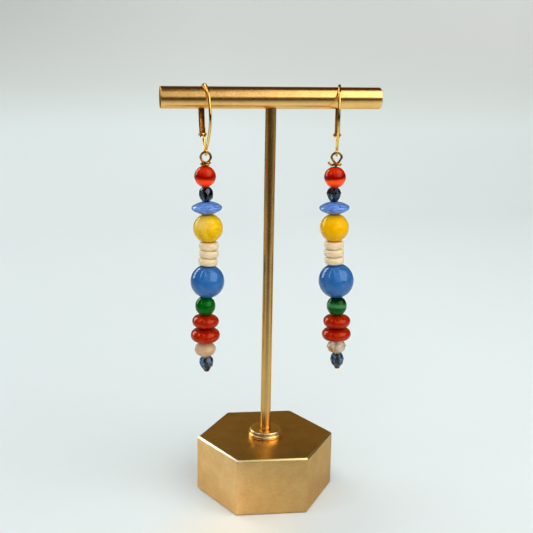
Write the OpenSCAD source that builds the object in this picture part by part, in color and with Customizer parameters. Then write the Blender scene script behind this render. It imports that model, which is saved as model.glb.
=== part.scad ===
/* [Stand] */
// Width of the hexagonal base across its flats
base_flats = 35.5; // [30:0.5:45]
// Height of the base
base_h = 17.2; // [14:0.2:24]
// Bevel along the top and bottom edges of the base
base_bevel = 0.5; // [0.2:0.1:1.5]
// Turn of the base about the post, in degrees
base_turn = -4.1; // [-30:0.1:30]
// Diameter of the post
post_d = 3; // [2.4:0.1:4]
// Height of the crossbar's middle above the table
bar_z = 117.5; // [100:0.5:150]
// Length of the crossbar
bar_l = 62; // [56:1:100]
// Diameter of the crossbar
bar_d = 6; // [5:0.1:6.2]
// Sideways distance from the post to the crossbar's middle
bar_shift = 0.35; // [-2:0.05:2]
// Bevel round the crossbar's ends
bar_bevel = 0.35; // [0.1:0.05:0.8]
// Diameter of the collar's lower step
collar_rim_d = 10.1; // [8:0.1:14]
// Height of the collar's lower step
collar_rim_h = 0.95; // [0.6:0.05:1.5]
// Diameter of the collar's upper step
collar_top_d = 9.3; // [7:0.1:10]
// Height of the whole collar
collar_h = 2; // [1.8:0.1:4]

/* [Ear wires] */
// Diameter of the ear wire
ear_wire_d = 0.75; // [0.6:0.05:0.75]
// Mean radius of the ring that holds the drop
ring_r = 0.85; // [0.8:0.05:1]
// Diameter of the ring's wire
ring_wire_d = 0.6; // [0.5:0.05:0.6]
// Width of the lever's channel, outside
lever_w = 1.45; // [1.4:0.05:1.8]
// Thickness of the lever's walls
lever_wall = 0.22; // [0.18:0.01:0.24]
// Diameter of the hinge pin
hinge_d = 0.6; // [0.4:0.05:0.6]
// Length of the hinge pin over its heads
hinge_l = 2.4; // [2.3:0.1:3]

/* [Drops] */
// Diameter of the drop pin's wire
pin_d = 0.68; // [0.5:0.02:0.7]
// Diameter of the holes through the beads
hole_d = 1; // [0.9:0.05:1.1]
// Gap between neighbouring beads
bead_gap = 0.06; // [0.03:0.01:0.15]
// Diameter of the red beads
red_d = 6.15; // [6.05:0.05:7]
// Length of the red beads along the pin
red_h = 5.9; // [5:0.05:5.9]
// Diameter of the crystals over their facets
crystal_d = 4.2; // [3.6:0.05:4.6]
// Length of the top crystals along the pin
crystal_top_h = 4; // [3.4:0.1:4.4]
// Length of the bottom crystals along the pin
crystal_bottom_h = 4.25; // [3.4:0.05:4.4]
// Diameter of the saucer beads
saucer_d = 8.75; // [8:0.05:10]
// Thickness of the saucer beads
saucer_h = 3.7; // [3.2:0.05:4.4]
// Diameter of the yellow beads
yellow_d = 8.4; // [8.05:0.05:9]
// Length of the yellow beads along the pin
yellow_h = 7.8; // [7:0.1:8]
// Diameter of the cream discs
disc_d = 5.8; // [5:0.05:7]
// Thickness of the cream discs
disc_h = 2.24; // [2.1:0.02:2.6]
// Diameter of the blue beads
blue_d = 10.1; // [9.9:0.05:11]
// Length of the blue beads along the pin
blue_h = 9.6; // [9:0.1:9.8]
// Diameter of the green beads
green_d = 5.95; // [5.75:0.05:6.5]
// Length of the green beads along the pin
green_h = 5.35; // [5:0.05:5.6]
// Diameter of the upper coral rondelles
rondelle_1_d = 8; // [7:0.1:9]
// Diameter of the lower coral rondelles
rondelle_2_d = 8.65; // [8:0.05:10]
// Thickness of the upper coral rondelles
rondelle_1_h = 3.95; // [3.6:0.05:4.8]
// Thickness of the lower coral rondelles
rondelle_2_h = 4.15; // [3.6:0.05:4.8]
// Diameter of the peach beads over their facets
peach_d = 6.15; // [5.4:0.05:7]
// Length of the peach beads along the pin
peach_h = 4.2; // [3.8:0.1:5.2]

/* [Hidden] */

$fn = 64;

gold = "#c9a25a";
old_gold = "#8f6a34";
slate = "#2c3c50";
cream = "#f4e2bc";
coral = "#b8260c";

// Clearance between pieces that are pressed or screwed together
fit = 0.05;
// Amount by which a cutter passes the face that it cuts
past = 1;

// Depth of the post in the base and in the crossbar
post_in_base = 9;
post_in_bar = 3;

// Each earring: side, x on the bar, turn and lean of the ear wire in degrees, share of the drawn
// length that it has below the bar, depth of the red bead's top below the swing axis
SIDE = 0;
EAR_X = 1;
TURN = 2;
LEAN = 3;
LONG = 4;
STACK_TOP = 5;
earrings = [
    ["left", -18.5, 7.8, -1.2, 1, 3.84],
    ["right", 19.45, -13.5, 0.4, 1.03, 4.06]
];

// Centre line of the ear wire from the middle of the bar: forward, up
ear_wire_line = [
    [-3.75, -1.1], [-3.78, 0.1], [-3.5, 1.35], [-2.65, 2.45], [-1.4, 3.2], [0, 3.5], [1.25, 3.35],
    [2.3, 2.84], [3.2, 2.1], [3.95, 1.4], [4.6, 0.3], [5.05, -1.3], [5.35, -3.2], [5.5, -5.3],
    [5.15, -7.2], [4.4, -9.1], [3.3, -10.9], [2.2, -12.4], [1.2, -13.5], [0.45, -14.05], [-0.15, -14.05],
    [-0.65, -13.55], [-1.15, -12.75], [-1.55, -11.9], [-1.75, -11.2], [-2.2, -10.65], [-2.75, -10.35]
];
// Hinge of the lever, from the middle of the bar: forward, up
hinge_at = [-2.9, -10.3];
// Radius and thickness of the drilled lug on the ear wire
lug_r = 0.65;
lug_w = 0.8;
// Middle of the ring under the ear wire, from the middle of the bar: forward, up
ring_at = [0, -14.84];
// Height of the swing axis over the ring's middle
swing_up = -0.06;

// Middle line of the lever and half its depth: forward, up, half depth
lever_line = [
    [-2.9, -10.3, 0.75], [-3.05, -9.2, 0.68], [-3.35, -7.8, 0.62], [-3.6, -6, 0.6], [-3.72, -4.4, 0.6],
    [-3.8, -2.8, 0.6], [-3.92, -1.2, 0.58], [-3.99, 0.5, 0.55]
];
// Room round the lug where the lever's back is cut away
lug_room = 0.2;

// Wire of the eye and its wrap, from the swing axis: right, back, up
eye_left = [
    [0.55, -1.12, -3.42], [-0.35, -1.2, -3.42], [-1.1, -0.55, -3.4], [-1.15, 0.35, -3.36], [-0.55, 1.08, -3.3],
    [0.4, 1.1, -3.22], [1.12, 0.4, -3.12], [1.05, -0.35, -3.02], [0.55, -0.72, -2.95], [-0.1, -0.73, -2.88],
    [-0.75, -0.5, -2.68], [-1.22, -0.25, -2.2], [-1.45, -0.1, -1.45], [-1.25, 0, -0.72], [-0.75, 0, -0.22],
    [0, 0, 0], [0.75, 0, -0.22], [1.25, 0, -0.72], [1.45, 0, -1.45], [1.2, 0, -2.2], [0.72, 0, -2.68],
    [0.22, 0, -3], [0.02, 0, -3.45]
];
eye_right = [
    [-2.25, -0.6, -2.75], [-1.85, -0.6, -3.15], [-1.25, -0.35, -3.45], [-1.1, 0.45, -3.55], [-0.45, 1.1, -3.55],
    [0.45, 1.1, -3.5], [1.1, 0.45, -3.42], [1.1, -0.35, -3.32], [0.55, -0.74, -3.22], [-0.05, -0.74, -3.02],
    [-0.55, -0.5, -2.65], [-1, -0.25, -2.1], [-1.4, -0.1, -1.45], [-1.3, 0, -0.8], [-0.75, 0, -0.25],
    [0, 0, 0], [0.75, 0, -0.2], [1.3, 0, -0.7], [1.38, 0, -1.4], [1.02, 0, -2.1], [0.6, 0, -2.65],
    [0.15, 0, -3.15], [-0.03, 0, -3.7]
];
eyes = [eye_left, eye_right];
// Sideways place of the drop pin at every bow_step of depth below the swing axis
bow_step = 9;
bows = [
    [0, -0.08, 0.48, 0.92, 0.54, 0, -0.1, 0.28, 0.66],
    [0, -0.4, -0.06, 0.12, 0.9, 1.54, 1.8, 2.24, 2.65]
];
// Flat foot of the drop pin
foot_d = 1.6;
foot_h = 0.3;
// Radius of the rounded rim of the domed beads, as a share of half their thickness
saucer_round = 0.4;
rondelle_round = 0.84;
// Radius of the rounded corners of the cream discs
disc_corner = 0.85;
// Facets round the crystals and round the peach beads
crystal_sides = 8;
peach_sides = 12;
// Outline of the crystals, as shares of length and radius from the top: height, radius, turn
barrel_cut = [[0.5, 0.58, 0], [0.28, 0.92, 0.5], [-0.02, 1, 0], [-0.3, 0.9, 0.5], [-0.5, 0.56, 0]];
pear_cut = [[0.5, 0.56, 0], [0.34, 0.88, 0.5], [0.1, 1, 0], [-0.2, 0.88, 0.5], [-0.5, 0.5, 0]];
drop_cut = [[0.5, 0.66, 0], [0.34, 0.92, 0.5], [0.1, 1, 0], [-0.2, 0.86, 0.5], [-0.5, 0.4, 0]];
peach_cut = [[0.5, 0.5, 0], [0.3, 0.84, 0.5], [0.06, 1, 0], [-0.24, 0.86, 0.5], [-0.5, 0.36, 0]];

// Beads from the top: name, diameter, length along the pin
BEAD = 0;
WIDTH = 1;
LENGTH = 2;
beads = [
    ["red_bead", red_d, red_h], ["crystal_top", crystal_d, crystal_top_h], ["saucer", saucer_d, saucer_h],
    ["yellow_bead", yellow_d, yellow_h], ["disc_1", disc_d, disc_h], ["disc_2", disc_d, disc_h],
    ["disc_3", disc_d, disc_h], ["blue_bead", blue_d, blue_h], ["green_bead", green_d, green_h],
    ["rondelle_1", rondelle_1_d, rondelle_1_h], ["rondelle_2", rondelle_2_d, rondelle_2_h],
    ["peach_bead", peach_d, peach_h], ["crystal_bottom", crystal_d, crystal_bottom_h]
];
// How the beads of each hand-strung drop differ, from the top: share of the diameter, share of the
// length, sideways slide on the pin in mm, tilt in degrees
ACROSS = 0;
ALONG = 1;
SLIDE = 2;
TILT = 3;
strung = [
    [
        [0.985, 1, -0.06, 0], [0.975, 1, 0.08, 0], [0.99, 1, 0, 2.5], [1, 1, 0, 0], [0.985, 1, 0.04, 0],
        [0.985, 1, 0.04, 0], [0.965, 1, -0.1, 1], [0.97, 0.97, 0.06, 0], [0.99, 0.965, -0.08, 0],
        [0.975, 1.01, 0.12, 0], [0.99, 1.02, 0.04, 0], [1.04, 1.045, -0.1, 0], [1.02, 0.97, 0.06, 1.5]
    ],
    [
        [1.015, 1, 0.08, 0], [1.01, 1, -0.08, 0], [1.01, 1, 0, 0], [1, 1, 0.08, 0], [1.015, 1, 0.04, 1],
        [1.015, 1, -0.08, 2], [1, 1, -0.08, 2.5], [1.03, 1.035, 0.08, 0], [1.01, 1.01, 0, 0],
        [1.025, 0.99, 0.06, 0], [1.01, 0.95, -0.06, 0], [0.955, 0.945, -0.06, 0], [0.99, 1.03, 0.04, 0]
    ]
];

function bead_d(e, i) = beads[i][WIDTH] * strung[e][i][ACROSS];
function bead_h(e, i) = beads[i][LENGTH] * strung[e][i][ALONG];
// Depth of the top of bead i of drop e below the swing axis
function bead_top(e, i) = i == 0 ? earrings[e][STACK_TOP] : bead_top(e, i - 1) + bead_h(e, i - 1) + bead_gap;

// Point on a smooth curve, f of the way from p1 to p2, with p0 before and p3 after them
function between(p0, p1, p2, p3, f) = 0.5 * (
    2 * p1 + (p2 - p0) * f + (2 * p0 - 5 * p1 + 4 * p2 - p3) * f * f
    + (3 * p1 - p0 - 3 * p2 + p3) * f * f * f
);
// Smooth curve through points, with a number of steps between each two
function curve(points, steps) = [
    for (i = [0:len(points) - 2], k = [0:steps - 1])
        between(points[max(i - 1, 0)], points[i], points[i + 1], points[min(i + 2, len(points) - 1)], k / steps),
    points[len(points) - 1]
];
// Value at depth s of a smooth row of values given at every step
function row_at(row, step, s) =
    let (i = floor(s / step), last = len(row) - 1)
    between(row[max(i - 1, 0)], row[i], row[min(i + 1, last)], row[min(i + 2, last)], s / step - i);

function unit(v) = v / norm(v);
// Direction of a path at each of its points
function headings(path) = [
    for (i = [0:len(path) - 1]) unit(path[min(i + 1, len(path) - 1)] - path[max(i - 1, 0)])
];
// Direction across the path at each point, carried along it without twist
function across(heads, first) = [
    for (
        i = 0, n = unit(first - (first * heads[0]) * heads[0]);
        i < len(heads);
        i = i + 1, n = i < len(heads) ? unit(n - (n * heads[i]) * heads[i]) : n
    ) n
];

// Round wire along a path, with its first ring drawn in to the share tip
module wire(path, radius, sides, tip) {
    heads = headings(path);
    normals = across(heads, [0.3, 1, 0.2]);
    last = len(path) - 1;
    corners = [
        for (i = [0:last], k = [0:sides - 1])
            path[i] + (i == 0 ? tip : 1) * radius
                * (cos(360 * k / sides) * normals[i] + sin(360 * k / sides) * cross(heads[i], normals[i]))
    ];
    walls = [
        for (i = [0:last - 1], k = [0:sides - 1])
            [i * sides + k, i * sides + (k + 1) % sides, (i + 1) * sides + (k + 1) % sides, (i + 1) * sides + k]
    ];
    start = [for (k = [0:sides - 1]) sides - 1 - k];
    end = [for (k = [0:sides - 1]) last * sides + k];
    polyhedron([for (c = corners) c], [for (f = concat([start], walls, [end])) [for (k = [len(f) - 1:-1:0]) f[k]]]);
}

// Moves a piece of earring e from the middle of its bar to its place on the stand
module on_bar(e) {
    translate([earrings[e][EAR_X], 0, bar_z]) rotate([0, earrings[e][LEAN], earrings[e][TURN]]) children();
}

// Height of a drawn point on ear wire e, drawn out below the bar by its share of length
function drawn_out(e, up) = up < 0 ? up * earrings[e][LONG] : up;
// Place on the stand of a point given as forward, up from the middle of earring e's bar
function on_stand(e, at) =
    let (lean = earrings[e][LEAN], turn = earrings[e][TURN], x = at[1] * sin(lean), y = -at[0])
    [earrings[e][EAR_X] + x * cos(turn) - y * sin(turn), x * sin(turn) + y * cos(turn), bar_z + at[1] * cos(lean)];
function ring_place(e) = [ring_at[0], drawn_out(e, ring_at[1])];
function hinge_place(e) = [hinge_at[0], drawn_out(e, hinge_at[1])];

// Moves a piece of drop e, drawn hanging from the swing axis, to its place in the ring
module in_ring(e) {
    translate(on_stand(e, ring_place(e) + [0, swing_up])) rotate([0, 0, earrings[e][TURN]]) children();
}

// Lies a shape drawn as forward, up on its side, with its thickness centred across the earring
module upright(thickness) {
    rotate([90, 0, -90]) translate([0, 0, -thickness / 2]) linear_extrude(thickness) children();
}

// Round bar across the earring at a place given as forward, up
module cross_bar(at, radius, length) {
    translate([0, -at[0], at[1]]) rotate([0, 90, 0]) cylinder(r = radius, h = length, center = true);
}

module hexagon(flats, height) {
    rotate([0, 0, base_turn]) cylinder(r = flats / 2 / cos(30), h = height, $fn = 6);
}

// Wedges that bevel the six top edges of the base
module bevel_cutters() {
    for (i = [0:5])
        rotate([0, 0, base_turn + 30 + 60 * i]) translate([base_flats / 2 - base_bevel, 0, base_h])
            rotate([0, 45, 0]) translate([0, -base_flats, 0]) cube([base_flats, 2 * base_flats, base_bevel * 3]);
}

module stand_base() {
    color(gold) difference() {
        hexagon(base_flats, base_h);
        bevel_cutters();
        translate([0, 0, base_h]) mirror([0, 0, 1]) bevel_cutters();
        translate([0, 0, base_h - post_in_base]) cylinder(d = post_d + 2 * fit, h = post_in_base + past);
    }
}

module stand_collar() {
    edge = 0.25;
    top_r = collar_top_d / 2;
    rim_r = collar_rim_d / 2;
    color(gold) translate([0, 0, base_h + fit]) difference() {
        rotate_extrude() polygon([
            [0, 0], [rim_r, 0], [rim_r, collar_rim_h - edge], [rim_r - edge, collar_rim_h],
            [top_r, collar_rim_h], [top_r, collar_h - edge], [top_r - edge, collar_h], [0, collar_h]
        ]);
        translate([0, 0, -past]) cylinder(d = post_d + 2 * fit, h = collar_h + 2 * past);
    }
}

module stand_post() {
    bottom = base_h - post_in_base + fit;
    top = bar_z - bar_d / 2 + post_in_bar - fit;
    color(gold) translate([0, 0, bottom]) cylinder(d = post_d, h = top - bottom);
}

module stand_bar() {
    r = bar_d / 2;
    color(gold) difference() {
        translate([bar_shift - bar_l / 2, 0, bar_z]) rotate([0, 90, 0]) rotate_extrude() polygon([
            [0, 0], [r - bar_bevel, 0], [r, bar_bevel], [r, bar_l - bar_bevel], [r - bar_bevel, bar_l], [0, bar_l]
        ]);
        translate([0, 0, bar_z - r - past]) cylinder(d = post_d + 2 * fit, h = post_in_bar + past);
    }
}

// Ear wire with the ring for the drop and the drilled lug for the lever
module ear_wire(e) {
    line = curve([for (p = ear_wire_line) [0, -p[0], drawn_out(e, p[1])]], 2);
    color(gold) on_bar(e) difference() {
        union() {
            wire(line, ear_wire_d / 2, 10, 0.8);
            translate([0, -ring_place(e)[0], ring_place(e)[1]]) rotate([0, 90, 0])
                rotate_extrude() translate([ring_r, 0]) circle(d = ring_wire_d);
            cross_bar(hinge_place(e), lug_r, lug_w);
        }
        cross_bar(hinge_place(e), hinge_d / 2 + 0.02, lug_w + 2 * past);
    }
}

// Edge of lever e on one side of its middle line, drawn in from its half depth by an inset and
// carried on past the lever's top
function lever_edge(e, side, inset, beyond) =
    let (
        line = curve([for (p = lever_line) [p[0], drawn_out(e, p[1]), p[2]]], 2),
        heads = headings([for (p = line) [p[0], p[1], 0]]),
        last = len(line) - 1
    )
    [
        for (i = [0:last])
            let (h = heads[i])
            [line[i][0], line[i][1]] + side * (line[i][2] - inset) * [-h[1], h[0]]
                + (i == last ? beyond : 0) * [h[0], h[1]]
    ];
function reversed(list) = [for (i = [len(list) - 1:-1:0]) list[i]];

// Channel that closes the back of the ear wire, open toward the bar
module lever(e) {
    channel_w = lever_w - 2 * lever_wall;
    back = 1;
    front = -1;
    color(old_gold) on_bar(e) difference() {
        union() {
            upright(lever_w)
                polygon(concat(lever_edge(e, back, 0, 0), reversed(lever_edge(e, front, 0, 0))));
            cross_bar(hinge_place(e), lever_line[0][2], lever_w);
        }
        upright(channel_w)
            polygon(concat(lever_edge(e, back, lever_wall, past), reversed(lever_edge(e, front, -past, past))));
        cross_bar(hinge_place(e), lug_r + lug_room, channel_w);
        cross_bar(hinge_place(e), hinge_d / 2 + 0.05, lever_w + 2 * past);
    }
}

module hinge_pin(e) {
    head_r = hinge_d / 2 + 0.14;
    head_h = (hinge_l - lever_w) / 2 - fit;
    color(gold) on_bar(e) {
        cross_bar(hinge_place(e), hinge_d / 2, hinge_l);
        for (side = [-1, 1])
            translate([side * (hinge_l - head_h) / 2, 0, 0]) cross_bar(hinge_place(e), head_r, head_h);
    }
}

// Sideways place of drop pin e at a depth below the swing axis
function bow(e, depth) = row_at(bows[e], bow_step, depth);

// Wire with the eye, the wrap, the straight run through the beads and the flat foot
module drop_pin(e) {
    stack_top = earrings[e][STACK_TOP];
    foot_top = bead_top(e, len(beads));
    runs = 12;
    run = [for (i = [0:runs]) let (s = stack_top + (foot_top - stack_top) * i / runs) [bow(e, s), 0, -s]];
    color(old_gold) in_ring(e) {
        wire(concat(curve(eyes[e], 2), run), pin_d / 2, 10, 0.8);
        translate([bow(e, foot_top), 0, -foot_top - foot_h]) cylinder(d = foot_d, h = foot_h);
    }
}

// Puts a bead drawn round its own middle at its place on drop e and drills it
module bead(e, i) {
    s = bead_top(e, i) + bead_h(e, i) / 2;
    slope = bow(e, s + 0.5) - bow(e, s - 0.5);
    in_ring(e) translate([bow(e, s) + strung[e][i][SLIDE], 0, -s]) rotate([0, strung[e][i][TILT] - atan(slope), 0])
        difference() {
            children();
            cylinder(d = hole_d, h = bead_h(e, i) + 2 * past, center = true);
        }
}

// Ball with its ends ground flat round the hole
module ball(width, length) {
    intersection() {
        sphere(d = width);
        cylinder(d = width + past, h = length, center = true);
    }
}

module round_bead(e, i, shade) { color(shade) bead(e, i) ball(bead_d(e, i), bead_h(e, i)); }

// Disc with domed faces that run smoothly into its rim, whose radius is a share of half the height
module pebble(width, height, round) {
    half = height / 2;
    rim = round * half;
    rim_at = width / 2 - rim;
    dome_r = (pow(rim_at, 2) + pow(half, 2) - pow(rim, 2)) / (2 * (half - rim));
    meet = rim_at * dome_r / (dome_r - rim);
    rotate_extrude() {
        intersection() {
            translate([0, half - dome_r]) circle(r = dome_r);
            translate([0, dome_r - half]) circle(r = dome_r);
            translate([0, -half]) square([meet, height]);
        }
        intersection() {
            translate([rim_at, 0]) circle(r = rim);
            translate([hole_d / 4, -half]) square([width, height]);
        }
    }
}

module domed_bead(e, i, shade, round) { color(shade) bead(e, i) pebble(bead_d(e, i), bead_h(e, i), round); }

// Flat disc with rounded corners
module disc_bead(e, i) {
    r = bead_d(e, i) / 2;
    half = bead_h(e, i) / 2;
    color(cream) bead(e, i) rotate_extrude() {
        translate([0, -half]) square([r - disc_corner, 2 * half]);
        translate([0, disc_corner - half]) square([r, 2 * (half - disc_corner)]);
        for (side = [-1, 1])
            translate([r - disc_corner, side * (half - disc_corner)]) circle(r = disc_corner);
    }
}

// Facet-cut bead: the hull of the rings of a cut
module cut_bead(cut, sides, width, height) {
    corners = [
        for (ring = cut, k = [0:sides - 1])
            let (a = 360 * (k + ring[2]) / sides)
            [ring[1] * width / 2 * cos(a), ring[1] * width / 2 * sin(a), ring[0] * height]
    ];
    hull() polyhedron(corners, [[for (k = [0:len(corners) - 1]) k]]);
}

module faceted_bead(e, i, shade, cut, sides) {
    color(shade) bead(e, i) cut_bead(cut, sides, bead_d(e, i), bead_h(e, i));
}

// One piece of earring e by its name without the side
module piece(e, name) {
    if (name == "ear_wire") ear_wire(e);
    if (name == "lever") lever(e);
    if (name == "hinge_pin") hinge_pin(e);
    if (name == "drop_pin") drop_pin(e);
    if (name == "red_bead") round_bead(e, 0, "#c8200a");
    if (name == "crystal_top") faceted_bead(e, 1, slate, e == 0 ? barrel_cut : pear_cut, crystal_sides);
    if (name == "saucer") domed_bead(e, 2, "#5f7dc8", saucer_round);
    if (name == "yellow_bead") round_bead(e, 3, "#e0b40c");
    if (name == "disc_1") disc_bead(e, 4);
    if (name == "disc_2") disc_bead(e, 5);
    if (name == "disc_3") disc_bead(e, 6);
    if (name == "blue_bead") round_bead(e, 7, "#2f66ad");
    if (name == "green_bead") round_bead(e, 8, "#045f16");
    if (name == "rondelle_1") domed_bead(e, 9, coral, rondelle_round);
    if (name == "rondelle_2") domed_bead(e, 10, coral, rondelle_round);
    if (name == "peach_bead") faceted_bead(e, 11, "#dcb48c", peach_cut, peach_sides);
    if (name == "crystal_bottom") faceted_bead(e, 12, slate, drop_cut, crystal_sides);
}
PIECES = concat(["ear_wire", "lever", "hinge_pin", "drop_pin"], [for (b = beads) b[BEAD]]);

stand_base();
stand_collar();
stand_post();
stand_bar();
for (e = [0:1], name = PIECES)
    piece(e, name);
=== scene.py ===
import math

import bmesh
import bpy
from mathutils import Matrix, Vector, noise

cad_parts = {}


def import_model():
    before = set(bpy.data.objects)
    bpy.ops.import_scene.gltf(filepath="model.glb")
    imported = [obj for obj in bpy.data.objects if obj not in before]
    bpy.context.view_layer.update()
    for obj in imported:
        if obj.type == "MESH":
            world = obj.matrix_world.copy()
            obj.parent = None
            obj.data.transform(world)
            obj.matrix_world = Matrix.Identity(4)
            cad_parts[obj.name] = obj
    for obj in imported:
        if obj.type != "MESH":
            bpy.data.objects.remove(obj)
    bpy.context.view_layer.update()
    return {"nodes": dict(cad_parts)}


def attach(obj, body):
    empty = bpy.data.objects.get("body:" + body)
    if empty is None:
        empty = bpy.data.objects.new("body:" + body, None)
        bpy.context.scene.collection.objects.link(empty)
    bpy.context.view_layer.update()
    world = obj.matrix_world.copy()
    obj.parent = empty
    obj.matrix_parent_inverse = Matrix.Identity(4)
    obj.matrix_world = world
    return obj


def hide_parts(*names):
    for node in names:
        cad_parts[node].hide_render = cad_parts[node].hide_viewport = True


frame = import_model()

MM = 0.001

# Sizes shared with the part, in millimetres

BAR_Z = 117.5
BAR_D = 6
BAR_L = 62
BAR_SHIFT = 0.35
POST_D = 3
POST_IN_BASE = 9
BASE_H = 17.2
COLLAR_RIM_D = 10.1
COLLAR_TOP_D = 9.3
FIT = 0.05

# Each earring: side, x on the bar, turn and lean of the ear wire in degrees, share of the drawn length
# that it has below the bar, depth of its first bead below the swing axis
EARRINGS = [
    dict(side="left", x=-18.5, turn=7.8, lean=-1.2, long=1, top=3.84),
    dict(side="right", x=19.45, turn=-13.5, lean=0.4, long=1.03, top=4.06),
]
# Centre line of the ear wire from the middle of the bar: forward, up
WIRE_LINE = [
    (-3.75, -1.1), (-3.78, 0.1), (-3.5, 1.35), (-2.65, 2.45), (-1.4, 3.18), (0, 3.48), (1.25, 3.33),
    (2.3, 2.84), (3.2, 2.1), (3.95, 1.4), (4.6, 0.3), (5.05, -1.3), (5.35, -3.2), (5.5, -5.3),
    (5.15, -7.2), (4.4, -9.1), (3.3, -10.9), (2.2, -12.4), (1.2, -13.5), (0.45, -14.05), (-0.15, -14.05),
    (-0.65, -13.55), (-1.15, -12.75), (-1.55, -11.9), (-1.75, -11.2), (-2.2, -10.65), (-2.75, -10.35),
]
# Hinge of the lever and middle of the ring, in the same view
HINGE = (-2.9, -10.3)
RING = (0, -14.84)
RING_R = 0.85
RING_WIRE_R = 0.3
# Height of the swing axis over the ring's middle
SWING_UP = -0.06
# Wire of each drop's eye and wrap, from the swing axis: right, back, up
EYES = [
    [
        (0.55, -1.12, -3.42), (-0.35, -1.2, -3.42), (-1.1, -0.55, -3.4), (-1.15, 0.35, -3.36),
        (-0.55, 1.08, -3.3), (0.4, 1.1, -3.22), (1.12, 0.4, -3.12), (1.05, -0.35, -3.02),
        (0.55, -0.72, -2.95), (-0.1, -0.73, -2.88), (-0.75, -0.5, -2.68), (-1.22, -0.25, -2.2),
        (-1.45, -0.1, -1.45), (-1.25, 0, -0.72), (-0.75, 0, -0.22), (0, 0, 0), (0.75, 0, -0.22),
        (1.25, 0, -0.72), (1.45, 0, -1.45), (1.2, 0, -2.2), (0.72, 0, -2.68), (0.22, 0, -3),
        (0.02, 0, -3.45),
    ],
    [
        (-2.25, -0.6, -2.75), (-1.85, -0.6, -3.15), (-1.25, -0.35, -3.45), (-1.1, 0.45, -3.55),
        (-0.45, 1.1, -3.55), (0.45, 1.1, -3.5), (1.1, 0.45, -3.42), (1.1, -0.35, -3.32),
        (0.55, -0.74, -3.22), (-0.05, -0.74, -3.02), (-0.55, -0.5, -2.65), (-1, -0.25, -2.1),
        (-1.4, -0.1, -1.45), (-1.3, 0, -0.8), (-0.75, 0, -0.25), (0, 0, 0), (0.75, 0, -0.2),
        (1.3, 0, -0.7), (1.38, 0, -1.4), (1.02, 0, -2.1), (0.6, 0, -2.65), (0.15, 0, -3.15),
        (-0.03, 0, -3.7),
    ],
]
# Sideways place of each drop pin at every BOW_STEP of depth below the swing axis
BOW_STEP = 9
BOWS = [
    [0, -0.08, 0.48, 0.92, 0.54, 0, -0.1, 0.28, 0.66],
    [0, -0.4, -0.06, 0.12, 0.9, 1.54, 1.8, 2.24, 2.65],
]
FOOT_H = 0.3
PIN_R = 0.34
WIRE_R = 0.365
BEAD_GAP = 0.06
HOLE_R = 0.5
DISC_CORNER = 0.85
# Beads from the top: name, diameter, length along the pin, rim radius as a share of half the length
BEADS = [
    ("red_bead", 6.15, 5.9, 0), ("crystal_top", 4.2, 4, 0), ("saucer", 8.75, 3.7, 0.4),
    ("yellow_bead", 8.4, 7.8, 0), *[("disc_%d" % k, 5.8, 2.24, 0) for k in (1, 2, 3)],
    ("blue_bead", 10.1, 9.6, 0), ("green_bead", 5.95, 5.35, 0),
    ("rondelle_1", 8, 3.95, 0.84), ("rondelle_2", 8.65, 4.15, 0.84), ("peach_bead", 6.15, 4.2, 0),
    ("crystal_bottom", 4.2, 4.25, 0),
]
# How the beads of each drop differ: share of diameter, share of length, slide in millimetres, tilt in degrees
STRUNG = [
    [
        (0.985, 1, -0.06, 0), (0.975, 1, 0.08, 0), (0.99, 1, 0, 2.5), (1, 1, 0, 0), (0.985, 1, 0.04, 0),
        (0.985, 1, 0.04, 0), (0.965, 1, -0.1, 1), (0.97, 0.97, 0.06, 0), (0.99, 0.965, -0.08, 0),
        (0.975, 1.01, 0.12, 0), (0.99, 1.02, 0.04, 0), (1.04, 1.045, -0.1, 0), (1.02, 0.97, 0.06, 1.5),
    ],
    [
        (1.015, 1, 0.08, 0), (1.01, 1, -0.08, 0), (1.01, 1, 0, 0), (1, 1, 0.08, 0), (1.015, 1, 0.04, 1),
        (1.015, 1, -0.08, 2), (1, 1, -0.08, 2.5), (1.03, 1.035, 0.08, 0), (1.01, 1.01, 0, 0),
        (1.025, 0.99, 0.06, 0), (1.01, 0.95, -0.06, 0), (0.955, 0.945, -0.06, 0), (0.99, 1.03, 0.04, 0),
    ],
]
# Outlines of the cut beads, as shares of length and radius from the top: height, radius, turn
BARREL_CUT = [(0.5, 0.58, 0), (0.28, 0.92, 0.5), (-0.02, 1, 0), (-0.3, 0.9, 0.5), (-0.5, 0.56, 0)]
PEAR_CUT = [(0.5, 0.56, 0), (0.34, 0.88, 0.5), (0.1, 1, 0), (-0.2, 0.88, 0.5), (-0.5, 0.5, 0)]
DROP_CUT = [(0.5, 0.66, 0), (0.34, 0.92, 0.5), (0.1, 1, 0), (-0.2, 0.86, 0.5), (-0.5, 0.4, 0)]
PEACH_CUT = [(0.5, 0.5, 0), (0.3, 0.84, 0.5), (0.06, 1, 0), (-0.24, 0.86, 0.5), (-0.5, 0.36, 0)]

# Turns a piece's own z along x
ACROSS = Matrix.Rotation(math.pi / 2, 4, "Y")
# Steps between two points of a smooth line
CURVE_STEPS = 8
# Shape of a wire's domed end: angles of its rings, height as a share of the radius
DOME_ANGLES = (0.3, 0.7, 1.1, 1.4)
DOME_RISE = 0.6
# Radius at which a bead's face begins beside its hole
FACE_R = HOLE_R + 0.2
# How far the sides of a hole widen at its mouth
LIP = 0.13
# Angle in degrees over which an edge of turned metal looks sharp
METAL_CREASE = 40
# Unevenness of the beads: how close its broad and its fine waves are, share of the fine ones
BROAD_WAVES = 0.42
FINE_WAVES = 1.3
FINE_SHARE = 0.3


# Curves and placing

def catmull(p0, p1, p2, p3, f):
    """Point on a smooth curve, f of the way from p1 to p2, with p0 before and p3 after them."""
    return 0.5 * (2 * p1 + (p2 - p0) * f + (2 * p0 - 5 * p1 + 4 * p2 - p3) * f * f
                  + (3 * p1 - p0 - 3 * p2 + p3) * f * f * f)


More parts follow.
